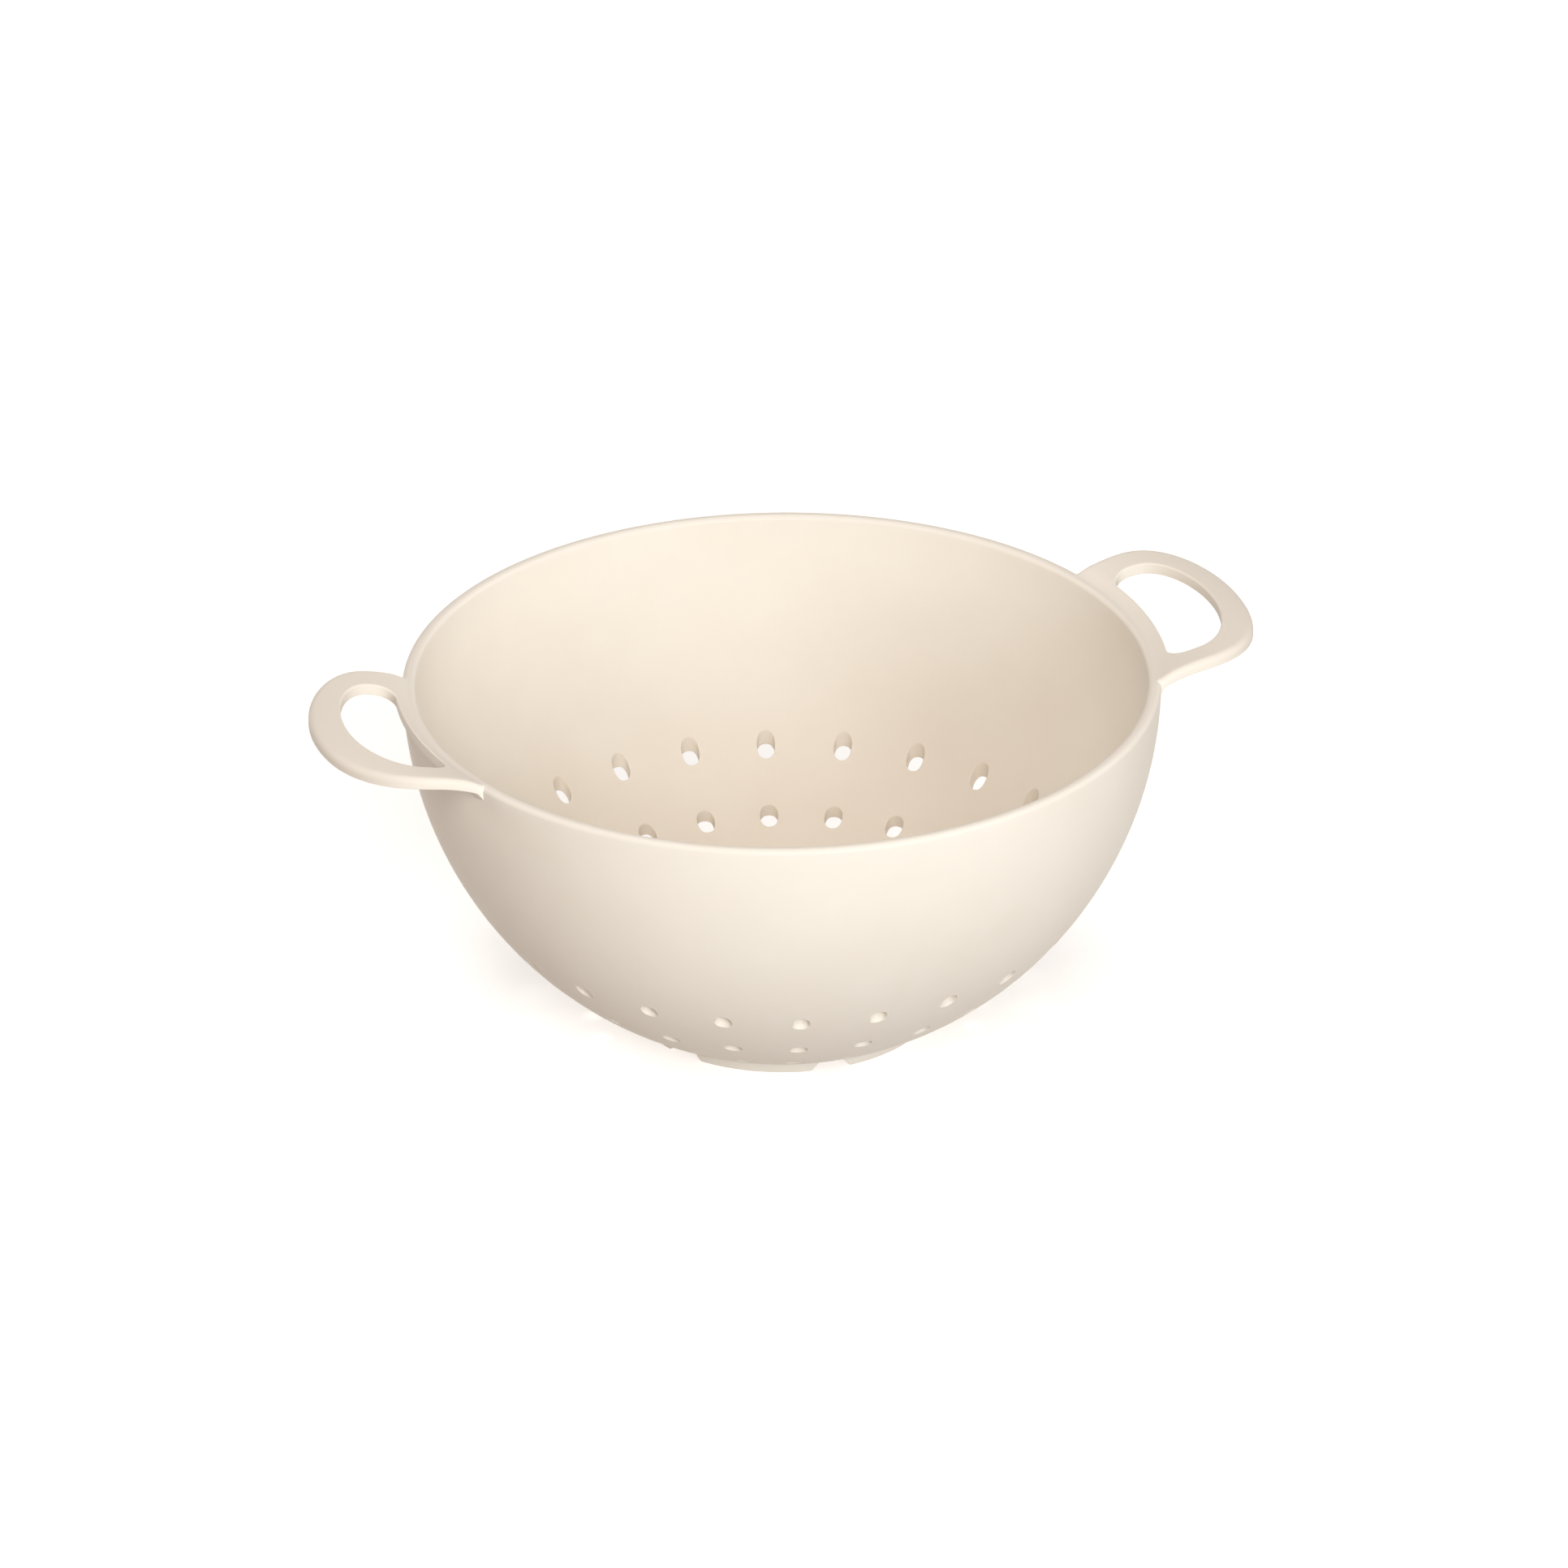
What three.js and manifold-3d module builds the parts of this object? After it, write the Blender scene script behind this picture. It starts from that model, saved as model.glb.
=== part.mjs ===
// Colander: a round bowl with rings of drain holes, two arched loop handles and a foot ring in six arcs.
// Millimetres, +Z up. The origin is under the middle of the bowl, on the surface it stands on.
// The handles lie along X.

import * as THREE from 'three';
import { mergeVertices } from 'three/addons/utils/BufferGeometryUtils.js';
import { TessellateModifier } from 'three/addons/modifiers/TessellateModifier.js';
import Module from 'manifold-3d';

// Bowl
const rimRadius = 110;
const bowlHeight = 105.6;
const rimLean = THREE.MathUtils.degToRad(0.65);
const lipThickness = 3.8;
const lipEdgeRadius = 1.6;
const wallThickness = 2.6;
const floorRadius = 42.3;
const floorHeight = 2.2;
const floorBlend = 5.75;

// Drain holes: rings up the wall above the floor's corner, and rings across the floor
const holeRadius = 2.6;
const spokes = 24;
const wallRings = 3;
const lowestRingRise = 15.5;
const wallRingPitch = 21.35;
const floorRingPitch = 15;
const floorRingStep = 6;
const holeMargin = 3;

// Handles
const handleReach = 31;
const handleWidth = 75.4;
const handleEnd = 25.8;
const handleFullness = 2.1;
const handleThickness = 3.4;
const handleEdgeRadius = 1.2;
const handleRootRise = 1;
const rootFillet = 2.3;
const crownReach = 18.9;
const crownRise = 5.4;
const sideBand = 9.75;
const tipBand = 9.15;
const openingSetback = 2.4;
const openingCorner = 5.3;
const openingRun = 1.9;
const openingFullness = 1.94;
const handleBlank = 15;

// Foot ring
const footRadius = 43.5;
const footWidth = 4;
const footLean = THREE.MathUtils.degToRad(20);
const footArcs = 6;
const notchWidth = 12;
const notchCorner = 4;
const notchRise = 1.5;

// Clearance between pieces that are bonded together
const seatGap = 0.3;

// How finely the round shapes are stepped
const roundSteps = 72;
const wallSteps = 8;
const edgeSteps = 3;
const blendSteps = 3;
const holeSides = 12;
const loopSteps = 9;
const plateStep = 10;
const plateRounds = 20;
const cutOverrun = 5;

// Finish
const creamColour = 0xecdfcc;
const creamRoughness = 0.55;

const wasm = await Module();
wasm.setup();

// Closed solid from a geometry, without the flat triangles that a profile leaves on its axis
function solid(geometry) {
  const bare = geometry.clone();
  bare.deleteAttribute('normal');
  bare.deleteAttribute('uv');
  const merged = mergeVertices(bare);
  const corners = merged.index.array;
  const triangles = [];
  for (let i = 0; i < corners.length; i += 3) {
    const [a, b, c] = corners.slice(i, i + 3);
    if (a !== b && b !== c && c !== a) {
      triangles.push(a, b, c);
    }
  }
  return new wasm.Manifold(new wasm.Mesh({
    numProp: 3,
    vertProperties: merged.attributes.position.array,
    triVerts: new Uint32Array(triangles),
  }));
}

function geometryOf(body) {
  const mesh = body.getMesh();
  const geometry = new THREE.BufferGeometry();
  geometry.setAttribute('position', new THREE.BufferAttribute(mesh.vertProperties, 3));
  geometry.setIndex(new THREE.BufferAttribute(mesh.triVerts, 1));
  geometry.computeVertexNormals();
  return geometry;
}

// Turns a profile of radius and height about Z
function revolve(profile) {
  return new THREE.LatheGeometry(profile, roundSteps).rotateX(Math.PI / 2);
}

// The outer wall is one arc: it leaves the rim with the rim's lean and meets the underside at floorRadius
const wall = (() => {
  const rim = new THREE.Vector2(rimRadius, bowlHeight);
  const corner = new THREE.Vector2(floorRadius, floorHeight);
  const inward = new THREE.Vector2(-Math.cos(rimLean), Math.sin(rimLean));
  const chord = corner.sub(rim);
  const radius = chord.lengthSq() / (2 * chord.dot(inward));
  const centre = inward.multiplyScalar(radius).add(rim);
  const lipAngle = Math.asin((centre.y - bowlHeight + lipEdgeRadius) / radius);
  const cornerAngle = Math.asin((centre.y - floorHeight) / radius);
  return { radius, centre, lipAngle, cornerAngle, blendAngle: cornerAngle - floorBlend / radius };
})();

// Point of the wall at an angle below level, a given depth inside its outer face
function wallPoint(angle, depth) {
  const reach = wall.radius - depth;
  return new THREE.Vector2(wall.centre.x + reach * Math.cos(angle), wall.centre.y - reach * Math.sin(angle));
}

// The wall thins from the lip towards the floor
function thicknessAt(angle) {
  return wallThickness + (lipThickness - wallThickness) * (1 - Math.sin(angle)) ** 2;
}

// Wall points from the floor blend up to the lip
function wallPoints(depthAt) {
  const points = [];
  for (let i = 0; i <= wallSteps; i += 1) {
    const angle = THREE.MathUtils.lerp(wall.blendAngle, wall.lipAngle, i / wallSteps);
    points.push(wallPoint(angle, depthAt(angle)));
  }
  return points;
}

// Soft corner from the flat floor at a height into the wall's first point
function floorCorner(height, wallStart) {
  const run = (wallStart.y - height) * Math.tan(wall.blendAngle);
  const bend = new THREE.Vector2(wallStart.x - run, height);
  const flat = new THREE.Vector2(bend.x - bend.distanceTo(wallStart), height);
  return new THREE.QuadraticBezierCurve(flat, bend, wallStart).getPoints(blendSteps).slice(0, -1);
}

// Points of an arc in a plane, from one angle to another
function arcPoints(x, y, radius, start, end) {
  return new THREE.EllipseCurve(x, y, radius, radius, start, end, end < start).getPoints(edgeSteps);
}

function quarterRound(centre, radius, start) {
  return arcPoints(centre.x, centre.y, radius, start, start + Math.PI / 2);
}

// Outer side of the bowl from the axis to the top of its lip, grown outwards by a clearance
function outerProfile(grow) {
  const face = wallPoints(() => -grow);
  const edge = face.at(-1);
  const lip = new THREE.Vector2(edge.x - lipEdgeRadius - grow, bowlHeight - lipEdgeRadius);
  const floor = floorHeight - grow;
  return [
    new THREE.Vector2(0, floor),
    ...floorCorner(floor, face[0]),
    ...face.slice(0, -1),
    ...quarterRound(lip, lipEdgeRadius + grow, 0),
  ];
}

// Inner side of the bowl from the top of its lip to the axis
function innerProfile() {
  const face = wallPoints(thicknessAt);
  const edge = face.at(-1);
  const lip = new THREE.Vector2(edge.x + lipEdgeRadius, bowlHeight - lipEdgeRadius);
  const floor = floorHeight + wallThickness;
  return [
    ...quarterRound(lip, lipEdgeRadius, Math.PI / 2),
    ...face.slice(0, -1).reverse(),
    ...floorCorner(floor, face[0]).reverse(),
    new THREE.Vector2(0, floor),
  ];
}

// The bowl filled to its rim and grown by the seat gap, which trims what is bonded to it
const bowlTrim = (() => {
  const profile = outerProfile(seatGap);
  return solid(revolve([...profile, new THREE.Vector2(0, profile.at(-1).y)]));
})();

// Every hole is a straight bore along Z
function holeCutter(radius, angle) {
  const bore = new THREE.CylinderGeometry(holeRadius, holeRadius, bowlHeight + cutOverrun, holeSides);
  bore.rotateX(Math.PI / 2);
  bore.translate(radius * Math.cos(angle), radius * Math.sin(angle), bowlHeight / 2);
  return solid(bore);
}

function holeRing(radius, count) {
  const cutters = [];
  for (let i = 0; i < count; i += 1) {
    cutters.push(holeCutter(radius, (2 * Math.PI * i) / count));
  }
  return cutters;
}

function holeCutters() {
  const cutters = [holeCutter(0, 0)];
  for (let ring = 0; ring < wallRings; ring += 1) {
    const rise = lowestRingRise + ring * wallRingPitch;
    const angle = wall.cornerAngle - rise / wall.radius;
    cutters.push(...holeRing(wallPoint(angle, wallThickness / 2).x, spokes));
  }
  const floorReach = footRadius - footWidth - holeMargin - holeRadius;
  for (let ring = 1; ring * floorRingPitch < floorReach; ring += 1) {
    cutters.push(...holeRing(ring * floorRingPitch, ring * floorRingStep));
  }
  return cutters.reduce((all, next) => all.add(next));
}

function bowl() {
  const shell = solid(revolve([...outerProfile(0), ...innerProfile()]));
  return geometryOf(shell.subtract(holeCutters()));
}

// Half of a full rounded end, from its side at +Y round the tip to its side at -Y
function roundedEnd(start, length, halfWidth, fullness) {
  const points = [];
  for (let i = 0; i <= 2 * loopSteps; i += 1) {
    const turn = (Math.PI / 2) * (1 - i / loopSteps);
    const x = start + length * Math.cos(turn) ** (2 / fullness);
    const y = halfWidth * Math.sign(turn) * Math.abs(Math.sin(turn)) ** (2 / fullness);
    points.push(new THREE.Vector2(x, y));
  }
  return points;
}

// Outline of the handle in plan: straight sides that run on inside the rim, and a full rounded end
function handleOutline() {
  const half = handleWidth / 2;
  const root = rimRadius - handleBlank;
  const tip = rimRadius + handleReach;
  return new THREE.Shape([
    ...roundedEnd(tip - handleEnd, handleEnd, half, handleFullness).reverse(),
    new THREE.Vector2(root, half),
    new THREE.Vector2(root, -half),
  ]);
}

// Finger opening: one side follows the rim, then rounded corners, short straight runs and a rounded end
function handleOpening() {
  const half = handleWidth / 2 - sideBand;
  const tip = rimRadius + handleReach - tipBand;
  const side = rimRadius + openingSetback;
  const cornerY = half - openingCorner;
  const cornerX = Math.sqrt((side + openingCorner) ** 2 - cornerY ** 2);
  const turn = Math.atan2(cornerY, cornerX);
  const end = cornerX + openingRun;
  return new THREE.Path([
    ...roundedEnd(end, tip - end, half, openingFullness),
    ...arcPoints(cornerX, -cornerY, openingCorner, -Math.PI / 2, -Math.PI - turn),
    ...arcPoints(0, 0, side, -turn, turn).slice(1, -1),
    ...arcPoints(cornerX, cornerY, openingCorner, Math.PI + turn, Math.PI / 2),
  ]);
}

// Height of the handle's top above the rim: an arch over the distance from the bowl's axis
function archHeight(radius) {
  const offset = (radius - rimRadius - crownReach) / crownReach;
  return crownRise - (crownRise - handleRootRise) * offset ** 2;
}

// Plate with rounded edges, bent over the arch
function archedPlate() {
  const plate = handleOutline();
  plate.holes.push(handleOpening());
  const flat = new THREE.ExtrudeGeometry(plate, {
    depth: handleThickness - 2 * handleEdgeRadius,
    bevelThickness: handleEdgeRadius,
    bevelSize: handleEdgeRadius,
    bevelOffset: -handleEdgeRadius,
    bevelSegments: edgeSteps,
  });
  flat.translate(0, 0, bowlHeight + handleEdgeRadius - handleThickness);
  const bent = new TessellateModifier(plateStep, plateRounds).modify(flat);
  const places = bent.attributes.position;
  for (let i = 0; i < places.count; i += 1) {
    const radius = Math.hypot(places.getX(i), places.getY(i));
    places.setZ(i, places.getZ(i) + archHeight(radius));
  }
  return solid(bent);
}

// Fillet between the underside of the plate and the bowl's wall, as wide as the handle
function handleFillet() {
  const run = Math.min(rootFillet, openingSetback);
  const outer = rimRadius + run;
  const under = (radius) => bowlHeight + archHeight(radius) - handleThickness;
  const sunk = handleThickness / 2;
  const low = under(rimRadius) - rootFillet;
  const curve = new THREE.EllipseCurve(outer, low, run, under(outer) - low, Math.PI, Math.PI / 2, true);
  const bead = solid(revolve([
    new THREE.Vector2(rimRadius - lipThickness, low),
    ...curve.getPoints(edgeSteps),
    new THREE.Vector2(outer, under(outer) + sunk),
    new THREE.Vector2(rimRadius - lipThickness, under(rimRadius) + sunk),
    new THREE.Vector2(rimRadius - lipThickness, low),
  ]));
  const slab = new THREE.ExtrudeGeometry(handleOutline(), { depth: bowlHeight, bevelEnabled: false });
  return bead.intersect(solid(slab));
}

// Plate and fillet in one, trimmed to the bowl
function handle() {
  return geometryOf(archedPlate().add(handleFillet()).subtract(bowlTrim));
}

// Bar with a round-cornered top that cuts two facing notches through the foot ring
function notchBar(angle) {
  const half = notchWidth / 2;
  const top = floorHeight + notchRise;
  const slot = new THREE.Shape([
    new THREE.Vector2(-half, -cutOverrun),
    new THREE.Vector2(half, -cutOverrun),
    ...arcPoints(half - notchCorner, top - notchCorner, notchCorner, 0, Math.PI / 2),
    ...arcPoints(notchCorner - half, top - notchCorner, notchCorner, Math.PI / 2, Math.PI),
  ]);
  const length = 2 * (footRadius + footWidth + cutOverrun);
  const bar = new THREE.ExtrudeGeometry(slot, { depth: length, bevelEnabled: false });
  bar.translate(0, 0, -length / 2);
  bar.rotateX(Math.PI / 2);
  bar.rotateZ(angle + Math.PI / 2);
  return solid(bar);
}

// Slice of the ring that holds one arc, centred on X
function footSlice() {
  const half = Math.PI / footArcs;
  const reach = (footRadius + footWidth + cutOverrun) / Math.cos(half);
  const slice = new THREE.Shape([
    new THREE.Vector2(0, 0),
    new THREE.Vector2(reach * Math.cos(half), -reach * Math.sin(half)),
    new THREE.Vector2(reach * Math.cos(half), reach * Math.sin(half)),
  ]);
  const prism = new THREE.ExtrudeGeometry(slice, { depth: 2 * cutOverrun + floorHeight, bevelEnabled: false });
  prism.translate(0, 0, -cutOverrun);
  return solid(prism);
}

// One arc of the foot: a leaning ring, seated on the underside and notched at both ends
function footArc() {
  const top = floorHeight + footWidth;
  const inner = footRadius - footWidth;
  const ring = solid(revolve([
    new THREE.Vector2(inner, 0),
    new THREE.Vector2(footRadius, 0),
    new THREE.Vector2(footRadius + top * Math.tan(footLean), top),
    new THREE.Vector2(inner, top),
    new THREE.Vector2(inner, 0),
  ]));
  const half = Math.PI / footArcs;
  const notches = notchBar(half).add(notchBar(-half));
  return geometryOf(ring.subtract(bowlTrim).subtract(notches).intersect(footSlice()));
}

// Matt cream moulding
function creamMoulding() {
  return new THREE.MeshStandardMaterial({ color: creamColour, roughness: creamRoughness, metalness: 0 });
}

function piece(name, geometry, turn = 0) {
  const mesh = new THREE.Mesh(geometry, creamMoulding());
  mesh.name = name;
  mesh.rotation.z = turn;
  return mesh;
}

const group = new THREE.Group();
group.add(piece('bowl', bowl()));
group.add(piece('handle_right', handle()));
group.add(piece('handle_left', handle(), Math.PI));
for (let i = 0; i < footArcs; i += 1) {
  group.add(piece(`foot_arc_${i + 1}`, footArc(), (2 * Math.PI * i) / footArcs));
}

export default group;
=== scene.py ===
import math
import bpy
import numpy as np
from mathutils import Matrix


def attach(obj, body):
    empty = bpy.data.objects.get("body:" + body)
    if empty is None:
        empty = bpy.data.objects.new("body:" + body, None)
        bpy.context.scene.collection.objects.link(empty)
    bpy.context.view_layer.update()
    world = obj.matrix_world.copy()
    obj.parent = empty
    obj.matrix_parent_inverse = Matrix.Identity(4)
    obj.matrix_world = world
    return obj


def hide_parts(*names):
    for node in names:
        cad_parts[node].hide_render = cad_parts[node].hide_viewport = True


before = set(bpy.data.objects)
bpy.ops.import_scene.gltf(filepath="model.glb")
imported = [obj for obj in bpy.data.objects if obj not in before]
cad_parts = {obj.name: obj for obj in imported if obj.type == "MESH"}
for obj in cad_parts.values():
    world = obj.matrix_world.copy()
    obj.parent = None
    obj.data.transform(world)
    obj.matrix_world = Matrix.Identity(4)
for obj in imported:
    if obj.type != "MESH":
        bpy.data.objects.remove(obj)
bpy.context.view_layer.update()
mm = 0.001
weldGap = 0.0001  # points of joined grids within about this, in millimetres, become one
print("frame loaded:", len(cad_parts), "nodes")

# sizes in millimetres and angles in degrees; the last two lines count steps of curves and rows of the mesh
bowlShape = dict(rimRadius=110.0, height=105.6, rimLean=0.65, lip=3.8, lipEdge=1.6, wall=2.6,
                 floorRadius=42.3, floorHeight=2.2, floorBlend=5.75,
                 arcSteps=1500, blendSteps=200,
                 around=192, across=8, wallRows=34, edgeRows=9, lowRows=12)


# the outer wall is one arc that leaves the rim at its lean and meets the underside at floorRadius
def wallArc(shape):
    lean = math.radians(shape["rimLean"])
    rim = np.array([shape["rimRadius"], shape["height"]])
    chord = np.array([shape["floorRadius"], shape["floorHeight"]]) - rim
    inward = np.array([-math.cos(lean), math.sin(lean)])
    radius = chord @ chord / (2 * chord @ inward)
    centre = rim + inward * radius
    lip = math.asin((centre[1] - shape["height"] + shape["lipEdge"]) / radius)
    corner = math.asin((centre[1] - shape["floorHeight"]) / radius)
    blend = corner - shape["floorBlend"] / radius
    return dict(radius=radius, centre=centre, lip=lip, corner=corner, blend=blend)


arc = wallArc(bowlShape)


# radius and height on the wall: the arc's centre plus (arc radius less depth) times cosine and sine
# of the angle below level
def wallCurve(angle, depth):
    reach = arc["radius"] - depth
    radius = arc["centre"][0] + reach * np.cos(angle)
    height = arc["centre"][1] - reach * np.sin(angle)
    return np.stack([radius, height], -1)


# wall thickness falls from the lip's to the wall's with the square of one less the sine of the angle
def wallDepth(angle):
    return bowlShape["wall"] + (bowlShape["lip"] - bowlShape["wall"]) * (1 - np.sin(angle)) ** 2


# parabola from start to end that leaves and arrives along the lines to bend
def softCurve(start, bend, end, rows):
    t = np.linspace(0, 1, rows)[:, None]
    return np.array(start) * (1 - t) ** 2 + np.array(bend) * 2 * t * (1 - t) + np.array(end) * t ** 2


# points at even angles round a centre
def arcLine(x, y, radius, start, end, steps):
    angle = np.linspace(start, end, steps)
    return np.stack([x + radius * np.cos(angle), y + radius * np.sin(angle)], -1)


# profile of one face from the axis to the lip: flat floor, a parabola into the wall, then the arc;
# depthShare is 0 on the outer face and 1 on the inner one
def faceProfile(depthShare, floor):
    angle = np.linspace(arc["blend"], arc["lip"], bowlShape["arcSteps"])
    wallPart = wallCurve(angle, depthShare * wallDepth(angle))
    start = wallPart[0]
    bend = np.array([start[0] - (start[1] - floor) * math.tan(arc["blend"]), floor])
    flat = np.array([bend[0] - np.hypot(*(start - bend)), floor])
    corner = softCurve(flat, bend, start, bowlShape["blendSteps"])[:-1]
    return np.concatenate([[[0.0, floor]], corner, wallPart])


outerFace = faceProfile(0, bowlShape["floorHeight"])
innerFace = faceProfile(1, bowlShape["floorHeight"] + bowlShape["wall"])


# height of a face of the bowl at a radius
def heightOn(face, radius):
    return np.interp(radius, face[:, 0], face[:, 1])


# quads of a grid of points counted row by row, closed round either way where asked
def gridFaces(rows, cols, loopRows=False, loopCols=True):
    row = np.arange(rows if loopRows else rows - 1)[:, None]
    col = np.arange(cols if loopCols else cols - 1)[None, :]
    nextRow = (row + 1) % rows
    nextCol = (col + 1) % cols
    corners = (row * cols + col, row * cols + nextCol, nextRow * cols + nextCol, nextRow * cols + col)
    return np.stack(np.broadcast_arrays(*corners), -1).reshape(-1, 4)


# points that fall together become one
def weld(points, faces):
    keys = np.round(points / weldGap).astype(np.int64)
    _, first, back = np.unique(keys, axis=0, return_index=True, return_inverse=True)
    return points[first], back.reshape(-1)[faces]


# several grids of points and faces as one
def joinGrids(grids):
    starts = np.cumsum([0] + [len(points) for points, faces in grids[:-1]])
    allPoints = np.concatenate([points for points, faces in grids])
    allFaces = np.concatenate([faces + start for (points, faces), start in zip(grids, starts)])
    return weld(allPoints, allFaces)


# puts a piece into the scene, in the place of its solid
def makePiece(name, points, faces, finish, *nodes):
    mesh = bpy.data.meshes.new(name)
    mesh.from_pydata((points * mm).tolist(), [], faces)
    mesh.polygons.foreach_set("use_smooth", np.ones(len(faces), bool))
    mesh.materials.append(finish)
    mesh.update()
    piece = bpy.data.objects.new(name, mesh)
    bpy.context.scene.collection.objects.link(piece)
    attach(piece, "root")
    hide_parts(*nodes)
    print(name, len(points), "points", len(faces), "faces")


# one sRGB hex colour as linear RGBA, by the standard's own curve
def hexColour(code):
    srgb = np.array([int(code[i:i + 2], 16) for i in (1, 3, 5)]) / 255
    linear = np.where(srgb <= 0.04045, srgb / 12.92, ((srgb + 0.055) / 1.055) ** 2.4)
    return (*linear.tolist(), 1.0)


# adds a node, sets its fields and inputs, and links inputs from other nodes' outputs
def addNode(tree, kind, fields=(), inputs=(), links=()):
    node = tree.nodes.new(kind)
    for key, value in dict(fields).items():
        setattr(node, key, value)
    for key, value in dict(inputs).items():
        node.inputs[key].default_value = value
    for key, (source, output) in dict(links).items():
        tree.links.new(source.outputs[output], node.inputs[key])
    return node


# bioplastic moulded in a finely blasted tool: soft and matt, barely clouded, rubbed smoother where it
# stands and where it is held; clouds, grain and heights in millimetres
creamLook = dict(light="#eae2d6", deep="#e8dfd2", rubbed="#e3d8c9",
                 cloud=24.0, cloudDetail=3.0, cloudRough=0.55, deepTo=0.3, lightFrom=0.7,
                 grain=0.9, grainDetail=2.0, grainDepth=0.02, grainShare=0.25,
                 roughLow=0.5, roughHigh=0.6, rubRough=0.42, ior=1.47, gloss=0.25,
                 footRub=0.7, heldFrom=105.0, heldTo=110.0, heldShare=0.6)


def mouldedBioplastic(look):
    material = bpy.data.materials.new("moulded_cream_bioplastic")
    material.use_nodes = True
    tree = material.node_tree
    shader = tree.nodes["Principled BSDF"]
    place = addNode(tree, "ShaderNodeTexCoord")
    onObject = {"Vector": (place, "Object")}
    # one noise wave per cloud of the given millimetres
    cloud = addNode(tree, "ShaderNodeTexNoise", links=onObject,
                    inputs={"Scale": 1 / (look["cloud"] * mm), "Detail": look["cloudDetail"],
                            "Roughness": look["cloudRough"]})
    colour = addNode(tree, "ShaderNodeValToRGB", links={"Fac": (cloud, "Fac")})
    colour.color_ramp.elements[0].position = look["deepTo"]
    colour.color_ramp.elements[0].color = hexColour(look["deep"])
    colour.color_ramp.elements[1].position = look["lightFrom"]
    colour.color_ramp.elements[1].color = hexColour(look["light"])
    # the blasted grain is nearer 0.1 mm, drawn coarser so that it shows at all
    grain = addNode(tree, "ShaderNodeTexNoise", links=onObject,
                    inputs={"Scale": 1 / (look["grain"] * mm), "Detail": look["grainDetail"]})
    # rubbed by the worktop under the foot, and by hands over the tops of the handles
    parts = addNode(tree, "ShaderNodeSeparateXYZ", links=onObject)
    height = {"Value": (parts, "Z")}
    under = addNode(tree, "ShaderNodeMapRange", links=height,
                    inputs={"From Min": look["footRub"] * mm, "From Max": 0.0})
    held = addNode(tree, "ShaderNodeMapRange", links=height,
                   inputs={"From Min": look["heldFrom"] * mm, "From Max": look["heldTo"] * mm,
                           "To Max": look["heldShare"]})
    either = addNode(tree, "ShaderNodeMath", {"operation": "MAXIMUM"},
                     links={0: (under, "Result"), 1: (held, "Result")})
    rub = addNode(tree, "ShaderNodeMath", {"operation": "MULTIPLY"},
                  links={0: (either, "Value"), 1: (cloud, "Fac")})
    worn = addNode(tree, "ShaderNodeMix", {"data_type": "RGBA"}, {"B": hexColour(look["rubbed"])},
                   {"Factor": (rub, "Value"), "A": (colour, "Color")})
    rough = addNode(tree, "ShaderNodeMapRange", links={"Value": (grain, "Fac")},
                    inputs={"To Min": look["roughLow"], "To Max": look["roughHigh"]})
    smooth = addNode(tree, "ShaderNodeMix", inputs={"B": look["rubRough"]},
                     links={"Factor": (rub, "Value"), "A": (rough, "Result")})
    bump = addNode(tree, "ShaderNodeBump", links={"Height": (grain, "Fac")},
                   inputs={"Strength": look["grainShare"], "Distance": look["grainDepth"] * mm})
    shader.inputs["IOR"].default_value = look["ior"]
    shader.inputs["Specular IOR Level"].default_value = look["gloss"]
    tree.links.new(worn.outputs["Result"], shader.inputs["Base Color"])
    tree.links.new(smooth.outputs["Result"], shader.inputs["Roughness"])
    tree.links.new(bump.outputs["Normal"], shader.inputs["Normal"])
    return material


cream = mouldedBioplastic(creamLook)
print("material made:", cream.name)

# drain holes drawn down and slightly outward, with crisp edges; lowestRise and pitch run up the wall, and
# hold is the distance of the rows that keep an edge's shading to itself
holeShape = dict(radius=2.6, inEdge=0.22, outEdge=0.12, hold=0.12,
                 lowestRise=15.5, pitch=21.35, rings=3, spokes=24,
                 floorPitch=15.0, floorStep=6, floorRings=2, edgeRows=4, plainRows=4)
# full ovals in plan on the wall, round in the floor: fullness, then for the inner and the outer opening
# the half length along the radius and the shift outward
wallHole = dict(fullness=2.3, inRadial=2.42, outRadial=1.95, inShift=-0.1, outShift=0.48)
floorHole = dict(fullness=2.0, inRadial=holeShape["radius"], outRadial=holeShape["radius"],
                 inShift=0.0, outShift=0.0)


# distance rows from a hole's middle: down the bore, a quarter round of the edge radius, then even steps
# to the cell's border
def holeRows(hole, border, edge):
    curl = edge * (1 - np.cos(np.linspace(0, math.pi / 2, holeShape["edgeRows"])))
    near = np.concatenate([[0.0], curl])
    even = np.linspace(0, 1, holeShape["plainRows"] + 1)
    first = (hole + edge + holeShape["hold"])[..., None]
    return np.concatenate([hole[..., None] + near, first + (border[..., None] - first) * even], -1)


# how far the face has rolled into the hole: edge times one less the root of one less (1 - distance/edge)
# squared, and the first row a hold further down the bore
def edgeRoll(distance, edge):
    left = np.clip(1 - distance / edge, 0, 1)
    roll = edge * (1 - np.sqrt(1 - left ** 2))
    roll[..., 0] += holeShape["hold"]
    return roll


# border of a ring's cell, a sector of the ring, walked once round
def cellBorder(low, high, count):
    across = bowlShape["across"]
    steps = bowlShape["around"] // count
    half = math.pi / count
    turn = np.linspace(-half, half, steps, endpoint=False)
    climb = np.linspace(low, high, across, endpoint=False)
    side = np.full(across, half)
    angles = np.concatenate([turn, side, -turn, -side])
    reach = np.concatenate([np.full(steps, low), climb, np.full(steps, high), low + high - climb])
    return np.stack([reach * np.cos(angles), reach * np.sin(angles)], -1)


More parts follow.
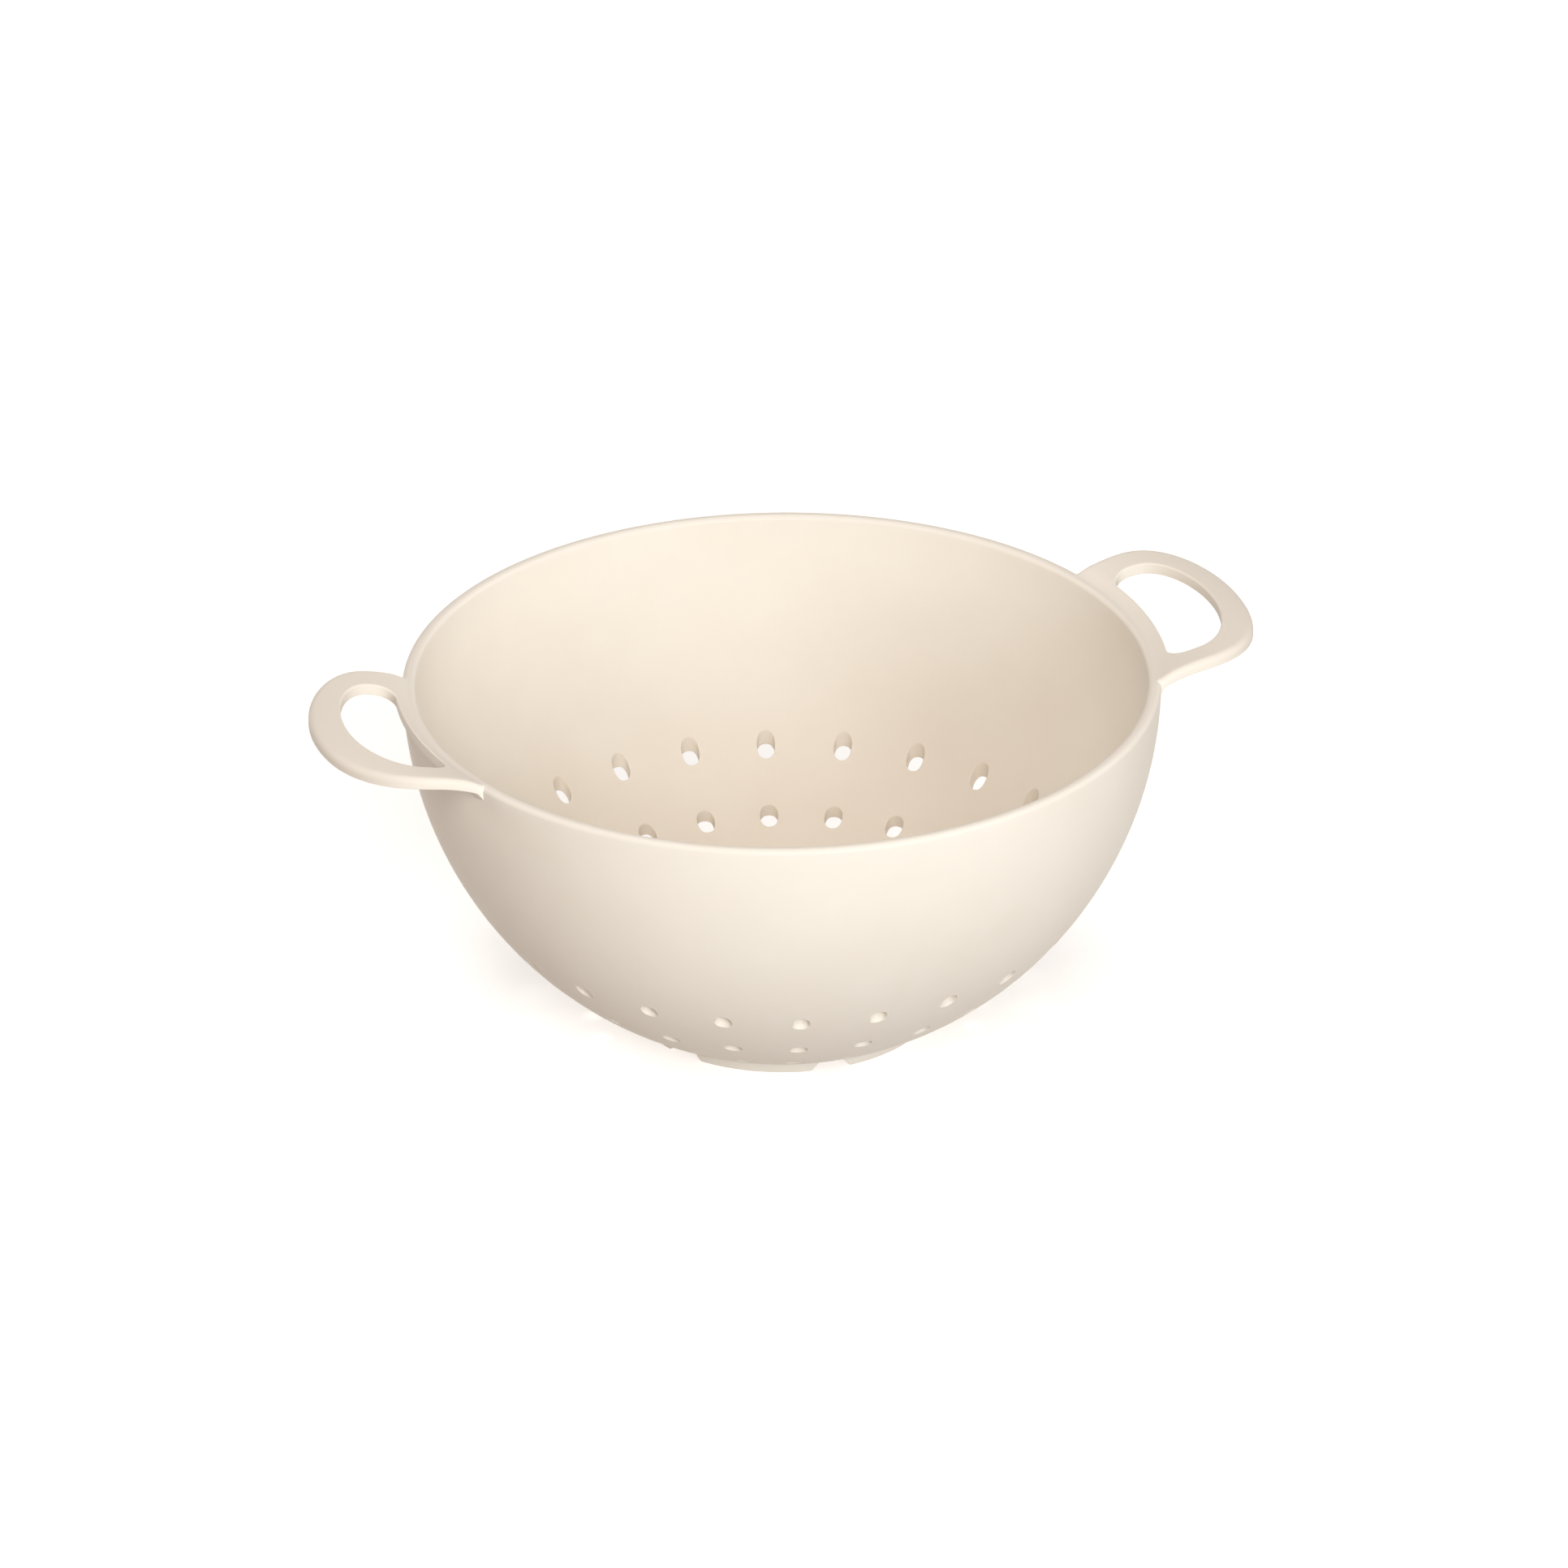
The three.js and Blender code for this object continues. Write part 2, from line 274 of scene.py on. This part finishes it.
# one face of a cell: rays run from the hole's middle to the cell's border, and the hole's edge on a ray
# is where the ray's parts over the hole's half lengths, each to the power of the fullness, add up to one;
# up is 1 for the face that looks up and -1 for the one that looks down
def cellFace(middle, border, radial, fullness, face, edge, up):
    reach = border - np.array([middle, 0.0])
    length = np.hypot(reach[:, 0], reach[:, 1])
    ray = reach / length[:, None]
    share = np.abs(ray / np.array([radial, holeShape["radius"]])) ** fullness
    hole = share.sum(1) ** (-1 / fullness)
    away = holeRows(hole, length, edge)
    x = middle + ray[:, :1] * away
    y = ray[:, 1:] * away
    z = heightOn(face, np.hypot(x, y)) - up * edgeRoll(away - hole[:, None], edge)
    return np.stack([x, y, z])


# skin of one ring: a cell's inner face reversed, the bore, then its outer face, turned about Z by the count
def ringGrid(ring, low, high, count, plan):
    border = cellBorder(low, high, count)
    inner = cellFace(ring + plan["inShift"], border, plan["inRadial"], plan["fullness"],
                     innerFace, holeShape["inEdge"], 1)
    outer = cellFace(ring + plan["outShift"], border, plan["outRadial"], plan["fullness"],
                     outerFace, holeShape["outEdge"], -1)
    x, y, z = np.concatenate([inner[:, :, ::-1], outer], 2)
    rows, cols = z.shape
    spin = 2 * math.pi * np.arange(count)[:, None, None] / count
    points = np.stack([x * np.cos(spin) - y * np.sin(spin), x * np.sin(spin) + y * np.cos(spin),
                       np.broadcast_to(z, (count, rows, cols))], -1)
    faces = gridFaces(rows, cols, loopRows=True, loopCols=False)
    starts = np.arange(count)[:, None, None] * rows * cols
    return points.reshape(-1, 3), (faces + starts).reshape(-1, 4)


# a profile of radius and height turned about Z
def turned(profile):
    around = bowlShape["around"]
    angle = 2 * math.pi * np.arange(around) / around
    radius = profile[:, :1]
    height = profile[:, 1:]
    points = np.stack([radius * np.cos(angle), radius * np.sin(angle), height + 0 * angle], -1)
    return points.reshape(-1, 3), gridFaces(len(profile), around)


# part of a face between two radii, with even steps in radius
def facePart(face, low, high, rows):
    radius = np.linspace(low, high, rows)
    return np.stack([radius, heightOn(face, radius)], -1)


# rows of a face from a radius up to the lip, evenly counted along its points
def upperRows(face, low):
    count = np.arange(len(face))
    at = np.linspace(np.interp(low, face[:, 0], count), count[-1], bowlShape["wallRows"])
    return np.stack([np.interp(at, count, face[:, 0]), np.interp(at, count, face[:, 1])], -1)


# lip and upper wall: outer arc up, two quarter rounds over the lip, inner arc down
def upperProfile(low):
    edge = bowlShape["lipEdge"]
    top = bowlShape["height"] - edge
    outer = upperRows(outerFace, low)
    inner = upperRows(innerFace, low)
    overOuter = arcLine(outer[-1, 0] - edge, top, edge, 0, math.pi / 2, bowlShape["edgeRows"])
    overInner = arcLine(inner[-1, 0] + edge, top, edge, math.pi / 2, math.pi, bowlShape["edgeRows"])
    return np.concatenate([outer[:-1], overOuter, overInner, inner[-2::-1]])


# middle of the floor: a round patch about the centre hole, both faces and the bore between
def middleProfile(border):
    radius = holeShape["radius"]
    parts = []
    for face, edge, up in ((innerFace, holeShape["inEdge"], 1), (outerFace, holeShape["outEdge"], -1)):
        rows = holeRows(np.array(radius), np.array(border), edge)
        parts.append(np.stack([rows, heightOn(face, rows) - up * edgeRoll(rows - radius, edge)], -1))
    return np.concatenate([parts[0][::-1], parts[1]])


# each ring of holes has cells that reach halfway to the next ring; plain bands fill the rest
def makeBowl():
    holes = holeShape
    rises = holes["lowestRise"] + holes["pitch"] * np.arange(holes["rings"])
    rings = wallCurve(arc["corner"] - rises / arc["radius"], bowlShape["wall"] / 2)[:, 0]
    gaps = (rings[1:] + rings[:-1]) / 2
    borders = np.concatenate([[2 * rings[0] - gaps[0]], gaps, [2 * rings[-1] - gaps[-1]]])
    floorRings = holes["floorPitch"] * np.arange(holes["floorRings"] + 1)
    floorBorders = floorRings + holes["floorPitch"] / 2
    grids = [turned(middleProfile(floorBorders[0]))]
    for k in range(1, holes["floorRings"] + 1):
        grids.append(ringGrid(floorRings[k], floorBorders[k - 1], floorBorders[k], holes["floorStep"] * k,
                              floorHole))
    for k in range(holes["rings"]):
        grids.append(ringGrid(rings[k], borders[k], borders[k + 1], holes["spokes"], wallHole))
    for face, step in ((outerFace, 1), (innerFace, -1)):
        band = facePart(face, floorBorders[-1], borders[0], bowlShape["lowRows"])
        grids.append(turned(band[::step]))
    grids.append(turned(upperProfile(borders[-1])))
    points, faces = joinGrids(grids)
    makePiece("bowl_skin", points, faces.tolist(), cream, "bowl")


makeBowl()

# loop handle: a plate with a rounded outline, arched over its reach, that runs out of the rim; hidden is
# the edges' size where the root lies inside the lip, and the last two lines count steps and rows
handleShape = dict(reach=31.0, width=75.4, end=25.8, fullness=2.1, thickness=3.4, sideBand=9.75, tipBand=9.15,
                   outEdge=1.9, openEdge=0.55, underEdge=0.25, hidden=0.02,
                   crownReach=18.9, crownRise=5.4, rootRise=1.0, rootInset=2.1, blendReach=3.0,
                   underFillet=2.3, setback=2.4, corner=5.3, run=1.9, openFullness=1.94,
                   middle=10.0, leastSquare=0.35,
                   endSteps=900, openEndSteps=600, cornerSteps=60, rimSteps=300,
                   sideSteps=150, rootSteps=72, edgeRows=7, topRows=13)
rimRadius = bowlShape["rimRadius"]
crown = rimRadius + handleShape["crownReach"]
crownFall = (handleShape["crownRise"] - handleShape["rootRise"]) / handleShape["crownReach"] ** 2


# half of a full rounded end: x and y are powers of the cosine and sine of one turn
def roundedEnd(start, length, half, fullness, steps):
    turn = np.linspace(math.pi / 2, -math.pi / 2, steps)
    x = start + length * np.abs(np.cos(turn)) ** (2 / fullness)
    y = half * np.sign(turn) * np.abs(np.sin(turn)) ** (2 / fullness)
    return np.stack([x, y], -1)


# points at even steps along a line of points
def evenSteps(line, steps):
    way = np.concatenate([[0], np.cumsum(np.hypot(*np.diff(line, axis=0).T))])
    at = np.linspace(0, way[-1], steps)
    return np.stack([np.interp(at, way, line[:, 0]), np.interp(at, way, line[:, 1])], -1)


# the handle's arch above the rim: crown height less crownFall times the square of the distance to the crown
def archCurve(radius):
    return handleShape["crownRise"] - crownFall * (radius - crown) ** 2


# top of the handle: the arch, led in from the lip by a cubic that starts level
def archTop(radius):
    start = rimRadius - handleShape["rootInset"]
    end = rimRadius + handleShape["blendReach"]
    span = end - start
    t = np.clip((radius - start) / span, 0, 1)
    endSlope = 2 * crownFall * (crown - end) * span
    lead = archCurve(end) * (3 * t ** 2 - 2 * t ** 3) + endSlope * (t ** 3 - t ** 2)
    return np.where(radius < end, lead, archCurve(radius))


# underside: the arch a thickness lower, with a quarter round fillet down the bowl's wall
def archUnder(radius):
    fillet = handleShape["underFillet"]
    outside = np.maximum(radius, rimRadius)
    left = np.clip(1 - (outside - rimRadius) / fillet, 0, 1)
    return archCurve(outside) - handleShape["thickness"] - fillet * (1 - np.sqrt(1 - left ** 2))


# outer border of the handle's plan: from a root corner round the tip to the other one, then back along
# an arc inside the lip
def handleBorder():
    shape = handleShape
    half = shape["width"] / 2
    root = rimRadius - shape["rootInset"]
    rootX = math.sqrt(root ** 2 - half ** 2)
    turn = math.atan2(half, rootX)
    tip = roundedEnd(rimRadius + shape["reach"] - shape["end"], shape["end"], half, shape["fullness"],
                     shape["endSteps"])
    side = evenSteps(np.concatenate([[[rootX, half]], tip, [[rootX, -half]]]), shape["sideSteps"])
    back = arcLine(0, 0, root, -turn, turn, shape["rootSteps"])[1:-1]
    return np.concatenate([side, back]), len(side)


# border of the finger opening: rounded end, short straight runs, corner rounds and the side that follows
# the rim
def openingBorder():
    shape = handleShape
    half = shape["width"] / 2 - shape["sideBand"]
    tip = rimRadius + shape["reach"] - shape["tipBand"]
    side = rimRadius + shape["setback"]
    corner = shape["corner"]
    cornerY = half - corner
    cornerX = math.sqrt((side + corner) ** 2 - cornerY ** 2)
    turn = math.atan2(cornerY, cornerX)
    start = cornerX + shape["run"]
    return np.concatenate([
        roundedEnd(start, tip - start, half, shape["openFullness"], shape["openEndSteps"]),
        arcLine(cornerX, -cornerY, corner, -math.pi / 2, -math.pi - turn, shape["cornerSteps"]),
        arcLine(0, 0, side, -turn, turn, shape["rimSteps"])[1:],
        arcLine(cornerX, cornerY, corner, math.pi + turn, math.pi / 2, shape["cornerSteps"])[1:]])


# distance from the handle's middle to the opening's border along each ray
def openingReach(middle, ray):
    border = openingBorder() - middle
    turn = np.arctan2(border[:, 1], border[:, 0])
    order = np.argsort(turn)
    rayTurn = np.arctan2(ray[:, 1], ray[:, 0])
    return np.interp(rayTurn, turn[order], np.hypot(*border[order].T), period=2 * math.pi)


# cosine between each ray from the middle and the border's own normal, from neighbours round the loop
def squareness(line, ray):
    step = np.roll(line, -1, 0) - np.roll(line, 1, 0)
    normal = np.stack([step[:, 1], -step[:, 0]], -1) / np.hypot(step[:, 0], step[:, 1])[:, None]
    return np.clip(np.abs((normal * ray).sum(1)), handleShape["leastSquare"], 1)


# a closed section carried round the opening, as reach from the middle and height above the rim: the
# opening's lower and upper edge, the top, the side's upper and lower edge, then the underside; each edge
# is a quarter round, drawn longer where a ray meets its border aslant
def makeHandle(name, node, facing):
    shape = handleShape
    outer, sideCount = handleBorder()
    middle = np.array([rimRadius + shape["middle"], 0])
    outReach = np.hypot(*(outer - middle).T)[:, None]
    ray = (outer - middle) / outReach
    inReach = openingReach(middle, ray)[:, None]
    inGrow = 1 / squareness(middle + ray * inReach, ray)[:, None]
    outGrow = 1 / squareness(outer, ray)[:, None]
    index = np.arange(len(outer))
    onSide = (index > 0) & (index < sideCount - 1)
    outEdge = np.where(onSide, shape["outEdge"], shape["hidden"])[:, None]
    underEdge = np.where(onSide, shape["underEdge"], shape["hidden"])[:, None]
    turn = np.linspace(0, math.pi / 2, shape["edgeRows"])
    turnIn = 1 - np.cos(turn)
    turnUp = 1 - np.sin(turn)
    even = np.linspace(0, 1, shape["topRows"] + 2)[1:-1]
    inTop = inReach + shape["openEdge"] * inGrow
    outTop = outReach - outEdge * outGrow
    inLow = inReach + shape["underEdge"] * inGrow
    outLow = outReach - underEdge * outGrow
    reach = np.concatenate([
        inReach + shape["underEdge"] * inGrow * turnUp,
        inReach + shape["openEdge"] * inGrow * turnIn,
        inTop + (outTop - inTop) * even,
        outReach - outEdge * outGrow * turnIn[::-1],
        outReach - underEdge * outGrow * turnUp[::-1],
        outLow + (inLow - outLow) * even], 1)
    plan = middle + ray[:, None, :] * reach[..., None]
    radius = np.hypot(plan[..., 0], plan[..., 1])
    cuts = np.cumsum([len(turn), len(turn), len(even), len(turn), len(turn)])
    upper = np.split(archTop(radius), cuts, 1)
    lower = np.split(archUnder(radius), cuts, 1)
    height = np.concatenate([
        lower[0] + shape["underEdge"] * turnIn,
        upper[1] - shape["openEdge"] * turnUp,
        upper[2],
        upper[3] - outEdge * turnUp[::-1],
        lower[4] + underEdge * turnIn[::-1],
        lower[5]], 1)
    points = np.stack([facing * plan[..., 0], facing * plan[..., 1], bowlShape["height"] + height], -1)
    faces = gridFaces(*radius.shape, loopRows=True)[:, ::-1]
    makePiece(name, points.reshape(-1, 3), faces.tolist(), cream, node)


makeHandle("handle_right_skin", "handle_right", 1)
makeHandle("handle_left_skin", "handle_left", -1)

# foot ring in six arcs, each run out of the underside with a fillet and drawn back into it at its ends;
# a notch widens from notchFrom under the bowl to notchTo at the standing face
footShape = dict(radius=43.5, width=4.0, lean=6.0, arcs=6, notchFrom=0.6, notchTo=12.4, notchLean=2.3,
                 edge=0.25, fillet=0.8, innerFillet=1.0, sink=0.03, cover=0.5,
                 meetSteps=800, endRows=16, plainRows=26, filletRows=9, edgeRows=5)


# section of the foot in radius and height: fillet off the wall, leaning face, rounded edges, flat,
# inner face, fillet
def footSection():
    shape = footShape
    lean = math.tan(math.radians(shape["lean"]))
    outside = shape["radius"]
    inside = outside - shape["width"]
    edge = shape["edge"]
    tries = outside + np.linspace(0, shape["width"], shape["meetSteps"])
    meet = tries[np.argmin(np.abs(tries - outside - lean * heightOn(outerFace, tries)))]
    rise = heightOn(outerFace, meet)
    far = meet + shape["fillet"]
    low = rise - shape["fillet"]
    outerFillet = softCurve((far, heightOn(outerFace, far)), (meet, rise), (outside + lean * low, low),
                            shape["filletRows"])
    turn = np.linspace(0, math.pi / 2, shape["edgeRows"])
    outerEdge = np.stack([outside - edge + edge * np.cos(turn), edge - edge * np.sin(turn)], -1)
    innerEdge = np.stack([inside + edge - edge * np.sin(turn), edge - edge * np.cos(turn)], -1)
    floor = bowlShape["floorHeight"]
    innerFillet = softCurve((inside, floor - shape["innerFillet"]), (inside, floor),
                            (inside - shape["innerFillet"], floor), shape["filletRows"])
    return np.concatenate([outerFillet, outerEdge, innerEdge, innerFillet])


# one arc of the foot: its section carried round the ring; along each end the share of its height is
# a smooth step (three squares less two cubes) of the way to a power
def makeFoot(name, node, turn):
    shape = footShape
    radius, height = footSection().T
    way = np.linspace(0, 1, shape["endRows"])
    endWay = (shape["notchFrom"] + (shape["notchTo"] - shape["notchFrom"]) * way) / 2
    leant = way ** shape["notchLean"]
    endShare = 3 * leant ** 2 - 2 * leant ** 3
    ends = np.arcsin(endWay[:, None] / radius) - math.pi / shape["arcs"]
    even = np.linspace(0, 1, shape["plainRows"] + 2)[1:-1, None]
    plain = ends[-1] * (1 - 2 * even)
    angle = np.concatenate([ends, plain, -ends[::-1]])
    share = np.concatenate([endShare, np.ones(shape["plainRows"]), endShare[::-1]])[:, None]
    base = heightOn(outerFace, radius) + shape["sink"]
    drawn = base + share * (np.minimum(height, base) - base)
    # two more points of each section, inside the bowl's wall, close it
    lid = [-1, 0]
    lidHeight = np.broadcast_to(base[lid] + shape["cover"], (len(angle), len(lid)))
    allRadius = np.concatenate([radius, radius[lid]])
    allAngle = np.concatenate([angle, angle[:, lid]], 1) + turn
    allHeight = np.concatenate([drawn, lidHeight], 1)
    points = np.stack([allRadius * np.cos(allAngle), allRadius * np.sin(allAngle), allHeight], -1)
    rows, cols = allHeight.shape
    faces = gridFaces(rows, cols).tolist()
    faces += [list(range(cols))[::-1], list(range((rows - 1) * cols, rows * cols))]
    makePiece(name, points.reshape(-1, 3), faces, cream, node)


for k in range(footShape["arcs"]):
    makeFoot(f"foot_arc_{k + 1}_skin", f"foot_arc_{k + 1}", 2 * math.pi * k / footShape["arcs"])


# unit vector toward an azimuth, counted from the front, and an elevation
def direction(azimuth, elevation):
    level = math.cos(elevation)
    return np.array([math.sin(azimuth) * level, -math.cos(azimuth) * level, math.sin(elevation)])


# a long lens well back, at the photograph's angle, with its slight roll; target, lens and sensor in
# millimetres, distance and clipping in metres
view = dict(azimuth=-18.178, elevation=26.794, roll=0.445, target=(0.387, -0.147, 71.75),
            lens=1029.2, sensor=36.0, distance=13.0, clipNear=0.1, clipFar=200.0)


def putCamera(look):
    azimuth, elevation, roll = (math.radians(look[key]) for key in ("azimuth", "elevation", "roll"))
    back = direction(azimuth, elevation)
    right = np.array([math.cos(azimuth), math.sin(azimuth), 0.0])
    up = np.cross(back, right)
    matrix = np.eye(4)
    matrix[:3, 0] = right * math.cos(roll) - up * math.sin(roll)
    matrix[:3, 1] = right * math.sin(roll) + up * math.cos(roll)
    matrix[:3, 2] = back
    matrix[:3, 3] = np.array(look["target"]) * mm + back * look["distance"]
    data = bpy.data.cameras.new("camera")
    data.sensor_width = look["sensor"]
    data.lens = look["lens"]
    data.clip_start = look["clipNear"]
    data.clip_end = look["clipFar"]
    camera = bpy.data.objects.new("camera", data)
    camera.matrix_world = matrix.T.tolist()
    bpy.context.scene.collection.objects.link(camera)
    bpy.context.scene.camera = camera


putCamera(view)
print("camera placed")

# soft lamps: all at one distance from a point over the middle, in metres; direction in degrees, size in
# metres, power in watts
lampPlace = dict(distance=2.4, aimHeight=0.05)
lamps = dict(
    key=dict(azimuth=2, elevation=14, size=1.0, power=32.5, tint="#eef8ff"),
    front=dict(azimuth=-18, elevation=35, size=1.2, power=32.4, tint="#fff8f2"),
    frontRight=dict(azimuth=20, elevation=35, size=1.2, power=3.0, tint="#e6f3ff"),
    back=dict(azimuth=162, elevation=72, size=1.2, power=18.5, tint="#fff9f3"),
    backLeft=dict(azimuth=-138, elevation=28, size=1.0, power=11.3, tint="#f4f7ff"),
    right=dict(azimuth=87, elevation=14, size=1.0, power=12.4, tint="#fff5f2"),
    left=dict(azimuth=-108, elevation=14, size=1.0, power=6.4, tint="#fff1e2"),
)


def putLamp(name, look):
    azimuth = math.radians(look["azimuth"])
    elevation = math.radians(look["elevation"])
    aim = np.array([0, 0, lampPlace["aimHeight"]])
    data = bpy.data.lights.new(name, "AREA")
    data.shape = "DISK"
    data.size = look["size"]
    data.energy = look["power"]
    data.color = hexColour(look["tint"])[:3]
    lamp = bpy.data.objects.new(name, data)
    lamp.location = (direction(azimuth, elevation) * lampPlace["distance"] + aim).tolist()
    lamp.rotation_euler = (math.pi / 2 - elevation, 0, azimuth)
    lamp.visible_camera = False
    bpy.context.scene.collection.objects.link(lamp)


for name, look in lamps.items():
    putLamp(name, look)
print("lamps placed:", len(lamps))

# light of the sky and the floor, and the floor's size in metres
stageLook = dict(skyLight=0.02, floorColour="#f4f2ee", floorGlow=0.45, floorSize=30.0,
                 upLight=0.485, upTint="#fff1e7")
white = (1, 1, 1, 1)


# one where a camera, glossy or transmission ray looks at the background, nought for the rays that carry light
def backgroundRays(tree):
    path = addNode(tree, "ShaderNodeLightPath")
    mirrored = addNode(tree, "ShaderNodeMath", {"operation": "MAXIMUM"},
                       links={0: (path, "Is Glossy Ray"), 1: (path, "Is Transmission Ray")})
    return addNode(tree, "ShaderNodeMath", {"operation": "MAXIMUM"},
                   links={0: (path, "Is Camera Ray"), 1: (mirrored, "Value")})


# white where it is looked at, next to nothing as a light
def putWorld(look):
    world = bpy.data.worlds.new("studio")
    bpy.context.scene.world = world
    world.use_nodes = True
    tree = world.node_tree
    tree.nodes.clear()
    seen = backgroundRays(tree)
    light = addNode(tree, "ShaderNodeBackground", inputs={"Color": white, "Strength": look["skyLight"]})
    plain = addNode(tree, "ShaderNodeBackground", inputs={"Color": white, "Strength": 1.0})
    mix = addNode(tree, "ShaderNodeMixShader",
                  links={0: (seen, "Value"), 1: (light, "Background"), 2: (plain, "Background")})
    addNode(tree, "ShaderNodeOutputWorld", links={"Surface": (mix, "Shader")})


# pale floor: near white to the camera, so that only a faint shadow stays, and a soft even light to the
# object's underside
def putFloor(look):
    half = look["floorSize"] / 2
    mesh = bpy.data.meshes.new("floor")
    corners = [(-half, -half, 0), (half, -half, 0), (half, half, 0), (-half, half, 0)]
    mesh.from_pydata(corners, [], [(0, 1, 2, 3)])
    material = bpy.data.materials.new("pale_floor")
    material.use_nodes = True
    tree = material.node_tree
    tree.nodes.clear()
    seen = backgroundRays(tree)
    plain = addNode(tree, "ShaderNodeBsdfDiffuse", inputs={"Color": hexColour(look["floorColour"])})
    glow = addNode(tree, "ShaderNodeEmission", inputs={"Color": white, "Strength": look["floorGlow"]})
    lit = addNode(tree, "ShaderNodeAddShader", links={0: (plain, "BSDF"), 1: (glow, "Emission")})
    upward = addNode(tree, "ShaderNodeEmission",
                     inputs={"Color": hexColour(look["upTint"]), "Strength": look["upLight"]})
    mix = addNode(tree, "ShaderNodeMixShader",
                  links={0: (seen, "Value"), 1: (upward, "Emission"), 2: (lit, "Shader")})
    addNode(tree, "ShaderNodeOutputMaterial", links={"Surface": (mix, "Shader")})
    mesh.materials.append(material)
    floor = bpy.data.objects.new("floor", mesh)
    bpy.context.scene.collection.objects.link(floor)


putWorld(stageLook)
putFloor(stageLook)
print("stage set")

bpy.context.scene.view_settings.view_transform = "Standard"
